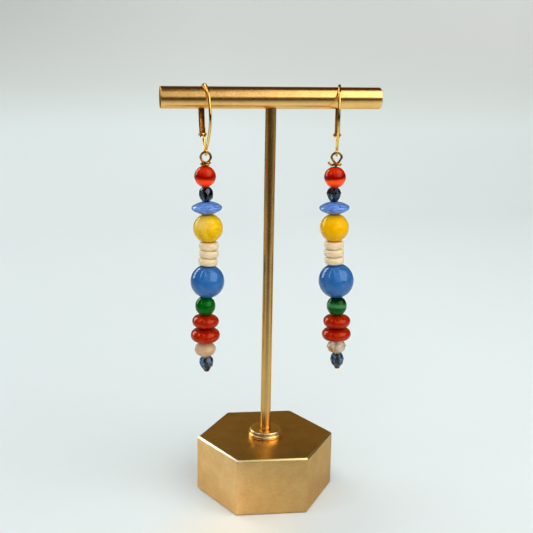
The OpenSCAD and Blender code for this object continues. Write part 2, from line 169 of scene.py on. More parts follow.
def smooth_line(points, steps):
    """Smooth curve through points, with a number of steps between each two."""
    pts = [Vector(p) for p in points]
    last = len(pts) - 1
    line = []
    for i in range(last):
        for k in range(steps):
            line.append(catmull(pts[max(i - 1, 0)], pts[i], pts[i + 1], pts[min(i + 2, last)], k / steps))
    return line + [pts[last]]


def bow(e, depth):
    """Sideways place of a drop's pin at a depth below its swing axis."""
    row = BOWS[e]
    i = int(depth // BOW_STEP)
    near = [row[min(max(k, 0), len(row) - 1)] for k in range(i - 1, i + 3)]
    return catmull(*near, depth / BOW_STEP - i)


def around(radius, angle, height):
    return Vector((radius * math.cos(angle), radius * math.sin(angle), height))


def drawn_out(e, up):
    """A height on the ear wire, stretched where it is below the bar's middle."""
    return up * EARRINGS[e]["long"] if up < 0 else up


def on_bar(e):
    """Frame of the earring's ear wire: x right, y back, z up from the middle of its bar."""
    ring = EARRINGS[e]
    return (Matrix.Translation(Vector((ring["x"], 0, BAR_Z)))
            @ Matrix.Rotation(math.radians(ring["turn"]), 4, "Z")
            @ Matrix.Rotation(math.radians(ring["lean"]), 4, "Y"))


def in_ring(e):
    """Frame of the drop, hanging plumb from its swing axis."""
    at = on_bar(e) @ Vector((0, -RING[0], drawn_out(e, RING[1])))
    at.z += SWING_UP
    return Matrix.Translation(at) @ Matrix.Rotation(math.radians(EARRINGS[e]["turn"]), 4, "Z")


def bead_size(e, i):
    """Diameter and length of a bead as strung."""
    return BEADS[i][1] * STRUNG[e][i][0], BEADS[i][2] * STRUNG[e][i][1]


def bead_top(e, i):
    """Depth of a bead's top below the swing axis."""
    return EARRINGS[e]["top"] + sum(bead_size(e, k)[1] + BEAD_GAP for k in range(i))


def bead_frame(e, i):
    """Frame of a bead's middle, its z along the bowed pin."""
    s = bead_top(e, i) + bead_size(e, i)[1] / 2
    slope = bow(e, s + 0.5) - bow(e, s - 0.5)
    slide, tilt = STRUNG[e][i][2:]
    return (in_ring(e) @ Matrix.Translation(Vector((bow(e, s) + slide, 0, -s)))
            @ Matrix.Rotation(math.radians(tilt) - math.atan(slope), 4, "Y"))


# Meshes

def add(name, data):
    made = bpy.data.objects.new(name, data)
    bpy.context.scene.collection.objects.link(made)
    return made


def make(name, verts, faces, matrix=None, flat=False):
    """A piece from points in millimetres of its own frame; matrix is its place in millimetres."""
    mesh = bpy.data.meshes.new(name)
    mesh.from_pydata([tuple(c * MM for c in v) for v in verts], [], faces)
    bm = bmesh.new()
    bm.from_mesh(mesh)
    bmesh.ops.recalc_face_normals(bm, faces=bm.faces)
    bm.to_mesh(mesh)
    bm.free()
    for p in mesh.polygons:
        p.use_smooth = not flat
    piece = add(name, mesh)
    if matrix is not None:
        placed = matrix.copy()
        placed.translation = matrix.translation * MM
        piece.matrix_world = placed
    return piece


def sharpen(piece, angle):
    """Keeps edges sharper than angle degrees crisp in the shading."""
    mesh = piece.data
    bm = bmesh.new()
    bm.from_mesh(mesh)
    for e in bm.edges:
        e.smooth = not (len(e.link_faces) == 2 and e.calc_face_angle(0) > math.radians(angle))
    for f in bm.faces:
        f.smooth = True
    bm.to_mesh(mesh)
    bm.free()


def bevel(piece, width, segments, angle):
    """Rounds the edges that are sharper than angle degrees, to a width in millimetres."""
    bm = bmesh.new()
    bm.from_mesh(piece.data)
    bmesh.ops.remove_doubles(bm, verts=bm.verts, dist=1e-7)
    bmesh.ops.dissolve_limit(bm, angle_limit=math.radians(1), verts=bm.verts, edges=bm.edges)
    edges = [e for e in bm.edges if len(e.link_faces) == 2 and e.calc_face_angle(0) > math.radians(angle)]
    bmesh.ops.bevel(bm, geom=edges, offset=width * MM, segments=segments, profile=0.5, affect="EDGES",
                    clamp_overlap=True)
    bm.to_mesh(piece.data)
    bm.free()


def from_node(name, node, width, segments, angle):
    """A finer copy of a CAD node, with its edges rounded."""
    piece = add(name, frame["nodes"][node].data.copy())
    normals = piece.data.attributes.get("custom_normal")
    if normals:
        piece.data.attributes.remove(normals)
    bevel(piece, width, segments, angle)
    sharpen(piece, angle=28)
    return piece


def join(name, parts):
    """One piece from several in the same frame."""
    bm = bmesh.new()
    for p in parts:
        bm.from_mesh(p.data)
    mesh = bpy.data.meshes.new(name)
    bm.to_mesh(mesh)
    bm.free()
    piece = add(name, mesh)
    piece.matrix_world = parts[0].matrix_world.copy()
    for p in parts:
        bpy.data.objects.remove(p)
    return piece


def in_frame_of(other, piece):
    """Gives a piece the same frame as another one and leaves it where it is."""
    piece.data.transform(other.matrix_world.inverted() @ piece.matrix_world)
    piece.matrix_world = other.matrix_world.copy()
    return piece


def tube(name, path, radius, sides, matrix, taper=None):
    """Round wire along a path with domed ends; taper gives the share of radius at 0..1 along it."""
    pts = [Vector(p) for p in path]
    last = len(pts) - 1
    heads = [(pts[min(i + 1, last)] - pts[max(i - 1, 0)]).normalized() for i in range(last + 1)]
    side = Vector((0.3, 1, 0.2))
    side = (side - side.dot(heads[0]) * heads[0]).normalized()
    rings = []
    for i, (p, h) in enumerate(zip(pts, heads)):
        side = (side - side.dot(h) * h).normalized()
        r = radius * (taper(i / last) if taper else 1)
        rings.append((p, side.copy(), h, r))
        if i in (0, last):
            rise = (-h if i == 0 else h) * r * DOME_RISE
            dome = [(p + rise * math.sin(a), side.copy(), h, r * math.cos(a)) for a in DOME_ANGLES]
            rings = dome[::-1] + rings if i == 0 else rings + dome
    verts = []
    for p, n, h, r in rings:
        b = h.cross(n)
        for k in range(sides):
            a = 2 * math.pi * k / sides
            verts.append(p + r * (math.cos(a) * n + math.sin(a) * b))
    faces = []
    for i in range(len(rings) - 1):
        for k in range(sides):
            j = (k + 1) % sides
            faces.append((i * sides + k, i * sides + j, (i + 1) * sides + j, (i + 1) * sides + k))
    faces.append(tuple(range(sides - 1, -1, -1)))
    faces.append(tuple(range((len(rings) - 1) * sides, len(rings) * sides)))
    return make(name, verts, faces, matrix)


def turned(name, profile, matrix, segments, wobble=0, seed=0, squash=0):
    """A drilled piece turned from a closed profile of (radius, height) in millimetres.

    wobble is how far its surface wanders, and squash how far it is out of round.
    """
    verts = []
    n = len(profile)
    for k in range(segments):
        a = 2 * math.pi * k / segments
        for r, z in profile:
            at = around(r, a, z)
            if wobble and r > HOLE_R + LIP:
                give = noise.noise(at * BROAD_WAVES + Vector((seed * 7.3, seed * 3.1, seed)))
                fine = noise.noise(at * FINE_WAVES + Vector((seed, seed * 5.9, 4)))
                flat = squash * r * (0.5 + 0.5 * math.cos(2 * a + seed))
                at = around(r + wobble * (give + FINE_SHARE * fine) - flat, a, z + 0.25 * wobble * give)
            verts.append(at)
    faces = []
    for k in range(segments):
        j = (k + 1) % segments
        for i in range(n):
            m = (i + 1) % n
            faces.append((k * n + i, j * n + i, j * n + m, k * n + m))
    return make(name, verts, faces, matrix)


def drilled(outside, half):
    """Closes an outside profile, bottom to top, with countersunk hole walls."""
    steps, sunk = 6, 0.015
    wall = [(HOLE_R, (half - LIP) * (1 - 2 * t / steps)) for t in range(steps + 1)]
    return [(HOLE_R + LIP, sunk - half)] + outside + [(HOLE_R + LIP, half - sunk)] + wall


def arc(middle, radius, low, high, steps):
    """Points on an arc between two angles, round a place on a profile."""
    turns = [low + (high - low) * k / steps for k in range(steps + 1)]
    return [(middle[0] + radius * math.cos(a), middle[1] + radius * math.sin(a)) for a in turns]


def ball_profile(width, length, steps=30):
    """A ball that is a little shorter than it is wide, with flats round its hole that have soft edges."""
    radius, half = width / 2, length / 2
    reach = math.asin(min(1, half / radius))
    points = arc((0, 0), radius, -reach, reach, steps)
    rim = points[0][0]
    if rim > HOLE_R + 0.25:
        soft = [(rim - 0.1, half), (rim + 0.016, half - 0.02)]
        points = [(r, -h) for r, h in soft] + points[1:-1] + soft[::-1]
    return drilled(points, half)


def pebble_profile(width, height, share, steps=12):
    """Domed faces that run smoothly into a rim whose radius is a share of half the height."""
    half = height / 2
    rim = share * half
    rim_at = width / 2 - rim
    dome_r = (rim_at ** 2 + half ** 2 - rim ** 2) / (2 * (half - rim))
    meet = rim_at * dome_r / (dome_r - rim)
    radii = [FACE_R + (meet - FACE_R) * k / steps for k in range(steps)]
    lower = [(r, dome_r - half - math.sqrt(dome_r ** 2 - r ** 2)) for r in radii]
    angle = math.acos(max(-1, min(1, (meet - rim_at) / rim)))
    nose = arc((rim_at, 0), rim, -angle, angle, 2 * steps)
    return drilled(lower + nose + [(r, -h) for r, h in reversed(lower)], half)


def disc_profile(width, height, corner, steps=8):
    """Flat disc with rounded corners."""
    half, bend = height / 2, width / 2 - corner
    face = [(FACE_R + (bend - FACE_R) * k / steps, -half) for k in range(steps)]
    lower = face + arc((bend, corner - half), corner, -math.pi / 2, 0, steps)
    return drilled(lower + [(r, -h) for r, h in reversed(lower)], half)


def cut_bead(name, cut, sides, soften, width, length, matrix):
    """A facet-cut drilled bead; soften rounds the arrises, in millimetres."""
    rings, verts, faces = [], [], []
    for height, share, turn in cut:
        r, step = share * width / 2, 2 * math.pi / sides
        rings.append(range(len(verts), len(verts) + sides))
        verts += [around(r, (k + turn) * step, height * length) for k in range(sides)]
    for (u, v), (a, b) in zip(zip(rings, rings[1:]), zip(cut, cut[1:])):
        late = b[2] > a[2]
        for k in range(sides):
            j = (k + 1) % sides
            if late:
                faces += [(u[k], v[k], u[j]), (u[j], v[k], v[j])]
            else:
                faces += [(u[k], v[k], v[j]), (u[k], v[j], u[j])]
    walls = []
    for ring, height, way in ((rings[0], cut[0][0], 1), (rings[-1], cut[-1][0], -1)):
        hole = range(len(verts), len(verts) + 2 * sides)
        sunk = height * length - way * 0.03
        verts += [around(HOLE_R * 1.08, math.pi * k / sides, sunk) for k in range(2 * sides)]
        for k in range(sides):
            j = (k + 1) % sides
            faces += [(ring[k], ring[j], hole[2 * k + 1]), (ring[k], hole[2 * k + 1], hole[2 * k]),
                      (ring[j], hole[(2 * k + 2) % (2 * sides)], hole[2 * k + 1])]
        walls.append(hole)
    for k in range(2 * sides):
        j = (k + 1) % (2 * sides)
        faces.append((walls[0][k], walls[0][j], walls[1][j], walls[1][k]))
    piece = make(name, verts, faces, matrix, flat=True)
    bevel(piece, soften, 2, 9)
    for p in piece.data.polygons:
        p.use_smooth = False
    return piece


def revolve(name, profile, matrix, segments):
    """A solid of revolution about its own z, with its profile starting and ending on the axis."""
    inner = profile[1:-1]
    n = len(inner)
    verts = [around(r, 2 * math.pi * k / segments, z) for k in range(segments) for r, z in inner]
    low, high = len(verts), len(verts) + 1
    verts += [Vector((0, 0, profile[0][1])), Vector((0, 0, profile[-1][1]))]
    faces = []
    for k in range(segments):
        j = (k + 1) % segments
        faces += [(k * n + i, j * n + i, j * n + i + 1, k * n + i + 1) for i in range(n - 1)]
        faces += [(low, j * n, k * n), (high, k * n + n - 1, j * n + n - 1)]
    return make(name, verts, faces, matrix)


# Materials

EVEN, ALONG_X, ALONG_Z = (1, 1, 1), (0.5, 1, 1), (1, 1, 0.5)


def srgb(*channels):
    """A screen colour of 0 to 255 as the linear one that shaders take."""
    shares = [c / 255 for c in channels]
    return tuple(s / 12.92 if s <= 0.04 else ((s + 0.055) / 1.055) ** 2.4 for s in shares) + (1,)


class Material:
    """A principled material and the nodes that feed it. Coordinates are the piece's own, in millimetres."""

    def __init__(self, name, **sockets):
        self.made = bpy.data.materials.new(name)
        self.made.use_nodes = True
        self.tree = self.made.node_tree
        self.shader = self.tree.nodes["Principled BSDF"]
        for key, value in sockets.items():
            self.set(key.replace("_", " "), value)

    def put(self, socket, value):
        if isinstance(value, bpy.types.NodeSocket):
            self.tree.links.new(value, socket)
        elif value is not None:
            socket.default_value = value

    def set(self, key, value):
        self.put(self.shader.inputs[key], value)

    def node(self, kind, **props):
        made = self.tree.nodes.new("ShaderNode" + kind)
        for key, value in props.items():
            setattr(made, key, value)
        return made

    def coords(self, stretch=EVEN, turn=(0, 0, 0)):
        move = self.node("Mapping")
        self.put(move.inputs["Vector"], self.node("TexCoord").outputs["Object"])
        move.inputs["Scale"].default_value = tuple(s / MM for s in stretch)
        move.inputs["Rotation"].default_value = turn
        return move.outputs["Vector"]

    def axes(self, vector):
        parts = self.node("SeparateXYZ")
        self.put(parts.inputs[0], vector)
        return parts.outputs

    def noise(self, vector, scale, detail=3, rough=0.55, wander=0):
        made = self.node("TexNoise")
        values = dict(Vector=vector, Scale=scale, Detail=detail, Roughness=rough, Distortion=wander)
        for key, value in values.items():
            self.put(made.inputs[key], value)
        return made.outputs["Fac"]

    def ramp(self, fac, *stops):
        made = self.node("ValToRGB")
        self.put(made.inputs[0], fac)
        line = made.color_ramp
        while len(line.elements) < len(stops):
            line.elements.new(0.5)
        for element, (at, color) in zip(line.elements, stops):
            element.position = at
            element.color = color if isinstance(color, tuple) else (color, color, color, 1)
        return made.outputs["Color"]

    def tones(self, fac, *stops):
        """A ramp of screen colours."""
        return self.ramp(fac, *[(at, srgb(*color)) for at, color in stops])

    def math(self, op, a, b=None, c=None, clamp=False):
        made = self.node("Math", operation=op, use_clamp=clamp)
        for socket, value in zip(made.inputs, (a, b, c)):
            self.put(socket, value)
        return made.outputs[0]

    def times(self, a, b):
        return self.math("MULTIPLY", a, b)

    def plus(self, a, b):
        return self.math("ADD", a, b)

    def linear(self, value, slope, start, clamp=False):
        """slope times value, plus start."""
        return self.math("MULTIPLY_ADD", value, slope, start, clamp)

    def below(self, value, top):
        """How far value is below top, kept between 0 and 1."""
        return self.math("SUBTRACT", top, value, clamp=True)

    def mix(self, fac, a, b, blend="MIX"):
        made = self.node("Mix", data_type="RGBA", blend_type=blend)
        self.put(made.inputs[0], fac)
        self.put(made.inputs[6], a)
        self.put(made.inputs[7], b)
        return made.outputs[2]

    def spot(self, vector, at, reach):
        """1 at a place, falling to 0 at reach from it."""
        made = self.node("VectorMath", operation="DISTANCE")
        self.put(made.inputs[0], vector)
        made.inputs[1].default_value = at
        return self.math("SUBTRACT", 1, self.math("DIVIDE", made.outputs["Value"], reach), clamp=True)

    def radius(self):
        """Distance from the piece's own z axis."""
        x, y, _ = self.axes(self.coords())
        return self.math("SQRT", self.plus(self.times(x, x), self.times(y, y)))

    def flesh(self, weight, tint, depth):
        """Lets light in under the surface, to a depth in millimetres."""
        self.set("Subsurface Weight", weight)
        self.set("Subsurface Radius", tint)
        self.set("Subsurface Scale", depth * MM)

    def bump(self, height, depth, strength=1):
        """Relief of a depth in millimetres. Every material ends with it, so it returns the material."""
        made = self.node("Bump")
        self.put(made.inputs["Height"], height)
        made.inputs["Distance"].default_value = depth * MM
        made.inputs["Strength"].default_value = strength
        self.set("Normal", made.outputs["Normal"])
        return self


PALE_GOLD = (0.76, 0.47, 0.165)
DEEP_GOLD = (0.62, 0.362, 0.113)
# Width that the base's painted side light runs over, and each step of it: place on it, share of red, green
# and blue
BASE_SPAN = 44
BASE_PAINTED_SIDE_LIGHT = [
    (0.02, (1.2, 1.24, 1.6)), (0.25, (1.13, 1.16, 1.48)), (0.3, (0.98, 1.01, 1.16)),
    (0.5, (0.86, 0.88, 0.95)), (0.738, (0.8, 0.82, 0.92)), (0.75, (0.76, 0.8, 1.12)),
    (0.98, (0.74, 0.8, 1.16)),
]
# Heights over the base of the collar's rims, where a highlight is painted
COLLAR_HIGHLIGHT_RIMS = (0.78, 1.82)


def satin(name, stretch, tone, roughness, depth, rim=(0.86, 0.58, 0.24, 1), recolor=None):
    """Satin gold plating, its grain drawn out along stretch; the last argument is a function that paints
    light and shade onto parts of it.
    """
    m = Material(name, Metallic=1, Specular_Tint=rim)
    grain = m.noise(m.coords(stretch), 3.4, 3, 0.65)
    fine = m.noise(m.coords(), 7, 2, 0.6)
    clouds = m.noise(m.coords(), 0.22, 3, 0.6)
    deep, pale = ((*[c * tone for c in gold], 1) for gold in (DEEP_GOLD, PALE_GOLD))
    color = m.ramp(m.plus(m.times(grain, 0.55), m.times(clouds, 0.45)), (0.36, deep), (0.62, pale))
    m.set("Base Color", recolor(m, color) if recolor else color)
    m.set("Roughness", m.linear(grain, 0.08, roughness - 0.04))
    return m.bump(m.plus(grain, m.times(fine, 0.3)), depth)


def base_painted_light(m, color):
    """Painted light: side faces painted paler and bluer to the left and darker to the right, under a painted
    highlight along the upper edges.
    """
    x, _, z = m.axes(m.coords())
    along = m.linear(x, 1 / BASE_SPAN, 0.5)
    # Painted light on the side faces: paler and bluer at the left, darker at the right
    painted_side_light = m.ramp(along, *[(at, (*shade, 1)) for at, shade in BASE_PAINTED_SIDE_LIGHT])
    sides = m.ramp(m.below(z, BASE_H - 0.05), (0, 0), (0.3, 1))
    color = m.mix(sides, color, m.mix(1, color, painted_side_light, "MULTIPLY"))
    # Painted highlight along the upper edges, near white at the left and yellow further right
    edge = m.ramp(m.below(z, BASE_H), (0.01, 0), (0.05, 0.85), (0.3, 0.85), (0.42, 0))
    return m.mix(edge, color, m.ramp(along, (0.24, (1, 0.96, 0.84, 1)), (0.28, (1, 0.9, 0.4, 1))))


def collar_painted_highlights(m, color):
    """Painted highlights: a pale cream band round each rim."""
    z = m.axes(m.coords())[2]
    for rim in COLLAR_HIGHLIGHT_RIMS:
        away = m.math("ABSOLUTE", m.math("SUBTRACT", z, BASE_H + rim))
        # Painted highlight: a pale cream band round the rim
        color = m.mix(m.ramp(away, (0.14, 1), (0.2, 0)), color, (1, 0.86, 0.52, 1))
    return color


def polished(name):
    """Polished gold wire, worn a little uneven."""
    m = Material(name, Metallic=1, Specular_Tint=(1, 0.8, 0.5, 1))
    recolor = m.noise(m.coords(), 0.9, 3, 0.6)
    m.set("Base Color", m.tones(recolor, (0.3, (246, 190, 92)), (0.7, (255, 226, 136))))
    m.set("Roughness", m.linear(recolor, 0.06, 0.02))
    return m.bump(m.noise(m.coords((1, 1, 0.25)), 9, 2), 0.003, 0.3)


def antique(name, bright, dark, roughness):
    """Darkened brass, rubbed bright in patches."""
    m = Material(name, Metallic=1, Specular_Tint=(0.9, 0.62, 0.3, 1))
    patina = m.noise(m.coords(), 1.6, 4, 0.6, 0.4)
    m.set("Base Color", m.tones(patina, (0.36, dark), (0.62, bright)))
    m.set("Roughness", m.ramp(patina, (0.3, roughness + 0.14), (0.7, roughness)))
    return m.bump(m.noise(m.coords(), 3.4, 3), 0.01, 0.5)


def glazed(name, stops, gloss, scale, wander, roughness, level, stretch=EVEN, soft=0, wavy=0.02, ripple=0):
    """Glossy bead: a clouded colour under an uneven gloss; ripple gives it fine rings round its hole."""
    m = Material(name, Specular_IOR_Level=level, Specular_Tint=gloss)
    cloud = m.noise(m.coords(stretch), scale, 4, 0.6, wander)
    m.set("Base Color", m.tones(cloud, *stops))
    m.set("Roughness", m.linear(cloud, 0.08, roughness))
    if soft:
        m.flesh(soft, (1, 0.6, 0.35), 0.8)
    height = m.noise(m.coords(), 1.1, 3, 0.5)
    if ripple:
        rings = m.math("SINE", m.linear(m.radius(), ripple, m.times(height, 6)))
        height = m.plus(height, m.times(rings, 0.16))
    return m.bump(height, wavy, 0.35)


def red_glass(name, slant, bright, band, drop):
    """Translucent orange-red, with painted light at the foot as a bright colour and a painted glow, and a
    dark band across the middle that is partly its own colour and partly a painted dark reflection.
    """
    m = Material(name, Specular_IOR_Level=0.5, Specular_Tint=(1, 0.42, 0.28, 1), Roughness=0.05)
    z = m.axes(m.coords(EVEN, (0, slant, 0)))[2]
    waver = m.noise(m.coords((0.4, 0.4, 1)), 0.8, 3, 0.5)
    height = m.plus(m.linear(z, 1 / 6, 0.5 - drop), m.linear(waver, 0.12, -0.06))
    # Bright at the foot where light is painted in, then a dark band that is partly its own colour and partly
    # a painted dark reflection
    m.set("Base Color", m.tones(
        height, (0, (238, 50, 2)), (0.26, bright), (0.4, band), (0.5, band),
        (0.62, (176, 20, 0)), (0.8, (196, 40, 4)), (1, (166, 14, 0))))
    # Painted glow at the foot, as if light came through from below
    painted_glow = m.ramp(height, (0.06, 0.08), (0.2, 0.34), (0.3, 0.3), (0.4, 0), (0.55, 0), (0.75, 0.05))
    m.set("Emission Color", (1, 0.05, 0, 1))
    m.set("Emission Strength", painted_glow)
    m.flesh(0.06, (1, 0.25, 0.08), 0.8)
    return m.bump(m.noise(m.coords(), 1.2, 2), 0.012, 0.3)


def crystal_glass(name, tint):
    """Dark clear glass, a little streaky."""
    m = Material(name, Transmission_Weight=1, IOR=1.56, Specular_IOR_Level=0.32)
    streak = m.noise(m.coords(), 1.2, 3, 0.6)
    darker = [c * 0.75 for c in tint]
    m.set("Base Color", m.mix(m.ramp(streak, (0.35, 0), (0.7, 1)), (*tint, 1), (*darker, 1)))
    m.set("Roughness", m.linear(streak, 0.02, 0.012))
    return m.bump(streak, 0.004, 0.3)


def milky_crystal(name):
    """Cloudy champagne crystal with one gold-stained side."""
    m = Material(name, Transmission_Weight=0.6, IOR=1.54)
    own = m.coords()
    cloud = m.noise(own, 0.9, 4, 0.65, 0.6)
    body = m.tones(cloud, (0.32, (190, 146, 108)), (0.46, (250, 226, 192)), (0.62, (255, 246, 226)))
    stain = m.plus(m.spot(own, (-1.7, -2.2, -1.2), 2.8), m.linear(cloud, 0.5, -0.25))
    m.set("Base Color", m.mix(m.ramp(stain, (0.3, 0), (0.5, 1)), body, srgb(244, 184, 104)))
    m.set("Roughness", m.times(cloud, 0.1))
    return m.bump(m.noise(own, 1.8, 3), 0.02, 0.4)


def yellow_stone(name, mottled):
    """Yellow stone, either even or mottled with a pale patch and one pit."""
    m = Material(name, Specular_IOR_Level=0.3, Specular_Tint=(1, 0.85, 0.3, 1))
    own = m.coords()
    cloud = m.noise(own, 0.55, 5, 0.65, 0.8)
    speck = m.noise(own, 2.6, 3, 0.7, 0.3)
    if mottled:
        body = m.tones(cloud, (0.32, (220, 162, 0)), (0.5, (238, 190, 2)), (0.7, (240, 204, 50)))
        streak = m.noise(m.coords((1, 1, 0.35)), 1.3, 4, 0.65, 0.5)
        patch = m.plus(m.spot(own, (-2.6, -2.4, 2), 4.2), m.linear(streak, 1.1, -0.55))
        body = m.mix(m.ramp(patch, (0.2, 0), (0.8, 0.55)), body, srgb(236, 206, 122))
        body = m.mix(m.ramp(speck, (0.6, 0), (0.74, 0.35)), body, srgb(226, 182, 52))
        pit = m.ramp(m.spot(own, (-3.07, -2.86, -0.18), 0.26), (0.1, 0), (0.6, 1))
        body = m.mix(pit, body, srgb(168, 132, 44))
        roughness = m.ramp(cloud, (0.3, 0.16), (0.7, 0.3))
        height = m.math("SUBTRACT", m.times(speck, 0.35), pit)
    else:
        body = m.tones(cloud, (0.3, (238, 167, 0)), (0.6, (243, 188, 2)), (0.8, (244, 196, 24)))
        roughness = m.ramp(cloud, (0.3, 0.14), (0.7, 0.24))
        height = m.times(speck, 0.3)
    m.set("Base Color", body)
    m.set("Roughness", roughness)
    m.flesh(0.25, (1, 0.7, 0.2), 0.6)
    return m.bump(height, 0.04, 0.5)


def ivory(name, seed):
    """Cream disc: cloudy on its faces and tanner in toward the hole."""
    m = Material(name, Roughness=0.3, Specular_IOR_Level=0.4)
    cloud = m.noise(m.coords((1, 1, 2.5), (0.2 * seed, 0.1, seed)), 0.7, 4, 0.6, 0.5)
    body = m.tones(cloud, (0.3, (226, 198, 152)), (0.55, (234, 215, 178)), (0.8, (240, 228, 204)))
    inner = m.tones(m.times(m.radius(), 1 / 3), (0.4, (232, 192, 136)), (0.78, (255, 255, 255)))
    m.set("Base Color", m.mix(1, body, inner, "MULTIPLY"))
    m.flesh(0.7, (1, 0.82, 0.55), 1.2)
    return m.bump(m.noise(m.coords((1, 1, 3)), 2.4, 4, 0.6), 0.03, 0.4)


def green_glass(name, banded):
    """Deep green glass, either plain or with a pale band across it."""
    m = Material(name, Specular_IOR_Level=0.4, Specular_Tint=(0.25, 1, 0.4, 1), Roughness=0.1)
    if banded:
        z = m.axes(m.coords(EVEN, (0.1, -0.08, 0)))[2]
        waver = m.noise(m.coords((0.5, 0.5, 1.2)), 0.9, 3, 0.55)
        height = m.plus(m.linear(z, 1 / 5.4, 0.5), m.linear(waver, 0.1, -0.05))
        bands = m.tones(
            height, (0, (4, 70, 16)), (0.16, (20, 104, 44)), (0.3, (2, 64, 14)), (0.41, (8, 80, 30)),
            (0.5, (74, 140, 90)), (0.6, (68, 134, 82)), (0.68, (6, 78, 24)), (0.82, (0, 34, 2)),
            (1, (0, 44, 6)))
        threads = m.noise(m.coords((0.25, 0.25, 3)), 2.2, 2)
        threads = m.tones(threads, (0.35, (4, 50, 14)), (0.65, (90, 160, 100)))
        color = m.mix(0.3, bands, threads, "OVERLAY")
    else:
        cloud = m.noise(m.coords(), 0.5, 4, 0.6, 0.8)
        color = m.tones(cloud, (0.3, (0, 71, 4)), (0.6, (0, 94, 12)), (0.85, (8, 110, 26)))
    m.set("Base Color", color)
    return m.bump(m.noise(m.coords(), 1.2, 2), 0.012, 0.3)


def peach_stone(name):
    """Cloudy peach stone with fine specks."""
    m = Material(name, Roughness=0.3, Specular_IOR_Level=0.4)
    cloud = m.noise(m.coords(), 0.7, 4, 0.6, 0.5)
    speck = m.noise(m.coords(), 4.2, 2, 0.6)
    body = m.tones(cloud, (0.3, (192, 150, 112)), (0.55, (202, 168, 132)), (0.8, (212, 186, 154)))
    m.set("Base Color", m.mix(m.ramp(speck, (0.58, 0), (0.72, 0.35)), body, srgb(212, 162, 118)))
    m.flesh(0.3, (1, 0.6, 0.4), 0.7)
    return m.bump(speck, 0.02, 0.4)


LOOKS = {
    "bar": satin("bar_satin_gold", ALONG_X, 1.34, 0.24, 0.008),
    "post": satin("post_satin_gold", ALONG_Z, 0.97, 0.25, 0.011),
    "base": satin("base_satin_gold", (0.7, 1, 1), 1.05, 0.34, 0.01, (1, 0.79, 0.52, 1), base_painted_light),
    "collar": satin("collar_satin_gold", EVEN, 1.38, 0.3, 0.006, (1, 0.9, 0.6, 1), collar_painted_highlights),
    "wire": polished("ear_wire_polished_gold"),
    "lever": antique("lever_antique_gold", (196, 134, 60), (104, 58, 24), 0.2),
    "pin": antique("drop_pin_antique_gold", (214, 156, 74), (128, 84, 36), 0.14),
    "red_left": red_glass("red_glass_left", -0.06, (240, 56, 0), (150, 8, 0), 0.03),
    "red_right": red_glass("red_glass_right", 0.14, (250, 80, 2), (136, 6, 0), 0.07),
    "slate": crystal_glass("slate_crystal_glass", (0.06, 0.112, 0.185)),
    "slate_blue": crystal_glass("slate_blue_crystal_glass", (0.1, 0.2, 0.36)),
    "periwinkle": glazed(
        "periwinkle_glaze", ((0.34, (66, 108, 188)), (0.5, (84, 130, 206)), (0.68, (122, 162, 226))),
        (0.8, 0.9, 1, 1), scale=0.9, wander=1.2, roughness=0.02, level=1, stretch=(0.6, 0.6, 1.6),
        wavy=0.12, ripple=5),
    "yellow_left": yellow_stone("yellow_stone_mottled", True),
    "yellow_right": yellow_stone("yellow_stone_even", False),
    "blue": glazed(
        "blue_glaze", ((0.3, (37, 92, 154)), (0.6, (45, 105, 168)), (0.85, (66, 122, 183))),
        (0.7, 0.85, 1, 1), scale=0.25, wander=0.6, roughness=0.03, level=0.6, soft=0.1),
    "green_left": green_glass("green_glass_plain", False),
    "green_right": green_glass("green_glass_banded", True),
    "coral": glazed(
        "coral_glaze", ((0.3, (146, 16, 0)), (0.55, (166, 28, 2)), (0.85, (188, 54, 10))),
        (1, 0.42, 0.2, 1), scale=0.6, wander=0.8, roughness=0.02, level=0.6, wavy=0.06),
    "peach": peach_stone("peach_stone"),
    "champagne": milky_crystal("champagne_crystal"),
}


def dress(piece, look, body, node):
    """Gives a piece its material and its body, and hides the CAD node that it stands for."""
    piece.data.materials.clear()
    piece.data.materials.append(LOOKS[look].made)
    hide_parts(node)
    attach(piece, body)


# Stand

def stand_base():
    piece = from_node("stand_base_block", "stand_base", 0.09, 3, 25)
    dress(piece, "base", "stand", "stand_base")


def stand_collar():
    """Two steps with rounded rims round the post."""
    bore, low, top = POST_D / 2 + FIT, COLLAR_RIM_D / 2, COLLAR_TOP_D / 2
    profile = [
        (bore, 0), (low - 0.07, 0), (low, 0.07), (low, 0.62), (low - 0.05, 0.78), (low - 0.15, 0.9),
        (low - 0.27, 0.95), (top + 0.03, 0.96), (top, 1), (top, 1.7), (top - 0.05, 1.86), (top - 0.15, 1.96),
        (top - 0.29, 2), (bore + 0.2, 2), (bore + 0.05, 1.95), (bore, 1.88),
    ]
    piece = turned("stand_collar_ring", [(r, BASE_H + FIT + h) for r, h in profile], None, 96)
    sharpen(piece, METAL_CREASE)
    dress(piece, "collar", "stand", "stand_collar")


def stand_post():
    """A rod from inside the base to the middle of the bar."""
    r, soft, steps = POST_D / 2, 0.1, 24
    low, high = BASE_H - POST_IN_BASE + FIT, BAR_Z - FIT
    side = [(r, low + soft + (high - low - 2 * soft) * k / steps) for k in range(steps + 1)]
    profile = [(0, low), (r - soft, low)] + side + [(r - soft, high), (0, high)]
    piece = revolve("stand_post_rod", profile, None, 64)
    sharpen(piece, METAL_CREASE)
    dress(piece, "post", "stand", "stand_post")


